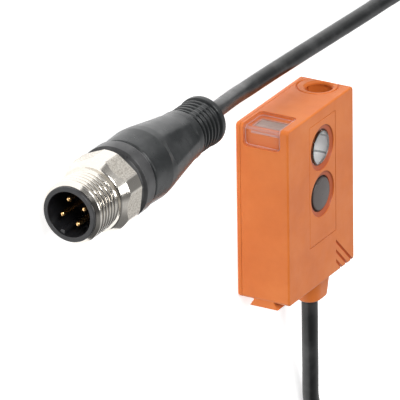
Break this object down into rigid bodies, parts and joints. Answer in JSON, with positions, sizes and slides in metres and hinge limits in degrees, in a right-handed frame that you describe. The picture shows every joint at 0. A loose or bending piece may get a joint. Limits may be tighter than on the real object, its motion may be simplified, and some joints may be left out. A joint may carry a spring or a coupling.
{
  "type": "photoelectric sensor",
  "caption": "Slim rectangular optical sensor head with two round lenses and an adjuster well, on a short cable that ends in a threaded round plug.",
  "frame": {"origin": "under the middle of the sensor head with its cable boss, on the surface that it lies on", "axes": "+Z out of the lens face, +Y from the cable boss towards the adjuster end, +X away from the narrow face with the status window"},
  "size_m": [0.1687, 0.1132, 0.0145],
  "materials": {
    "orange_plastic": "fine moulded grain",
    "clear_window": "clear moulded plastic with a faint pink tint",
    "clear_lens": "polished clear plastic",
    "smoked_lens": "polished smoked plastic",
    "black_plastic": "moulded, slightly satin",
    "black_rubber": "soft moulded",
    "cable_jacket": "smooth satin jacket",
    "nickel_plate": "nickel plated, speckled flats",
    "gold_plate": "gold plated",
    "mirror_metal": "vacuum coated facets",
    "plated_steel": "zinc plated",
    "board_laminate": "solder mask",
    "chip_package": "moulded epoxy",
    "ceramic": "fired ceramic",
    "white_plastic": "moulded",
    "led_yellow": "tinted epoxy",
    "led_green": "tinted epoxy",
    "wire_brown": "extruded insulation",
    "wire_white": "extruded insulation",
    "wire_blue": "extruded insulation",
    "wire_black": "extruded insulation"
  },
  "bodies": {
    "sensor": {"housing_shell": "orange_plastic", "rear_cover": "orange_plastic", "lens_panel": "orange_plastic", "status_window": "clear_window", "transmitter_lens": "clear_lens", "receiver_lens": "smoked_lens", "optics_block": "black_plastic", "emitter_reflector": "mirror_metal", "emitter_led": "clear_lens", "photodiode": "chip_package", "circuit_board": "board_laminate", "processor_chip": "chip_package", "driver_chip": "chip_package", "regulator_chip": "chip_package", "smoothing_capacitor": "ceramic", "board_connector": "white_plastic", "status_led_yellow": "led_yellow", "status_led_green": "led_green", "light_guide": "clear_window", "adjuster_body": "white_plastic", "cable_entry_plug": "black_rubber", "crimp_ring": "plated_steel", "core_brown": "wire_brown", "core_white": "wire_white", "core_blue": "wire_blue", "core_black": "wire_black", "contact_carrier": "black_plastic", "contact_pin_1": "gold_plate", "contact_pin_2": "gold_plate", "contact_pin_3": "gold_plate", "contact_pin_4": "gold_plate", "lock_ring": "black_plastic", "grip_body": "black_rubber", "cable": "cable_jacket"},
    "nut": {"coupling_nut": "nickel_plate"},
    "adjuster": {"adjuster_screw": "white_plastic", "adjuster_seal": "black_rubber"}
  },
  "joints": [
    {"name": "nut_turn", "type": "hinge", "parent": "sensor", "child": "nut", "pos_m": [-0.0767, 0.03225, 0.00725], "axis": [1, 0, 0], "continuous": true},
    {"name": "adjuster_turn", "type": "hinge", "parent": "sensor", "child": "adjuster", "pos_m": [0.0094, 0.01525, 0.00565], "axis": [0, 1, 0], "range_deg": [-135, 135]}
  ]
}
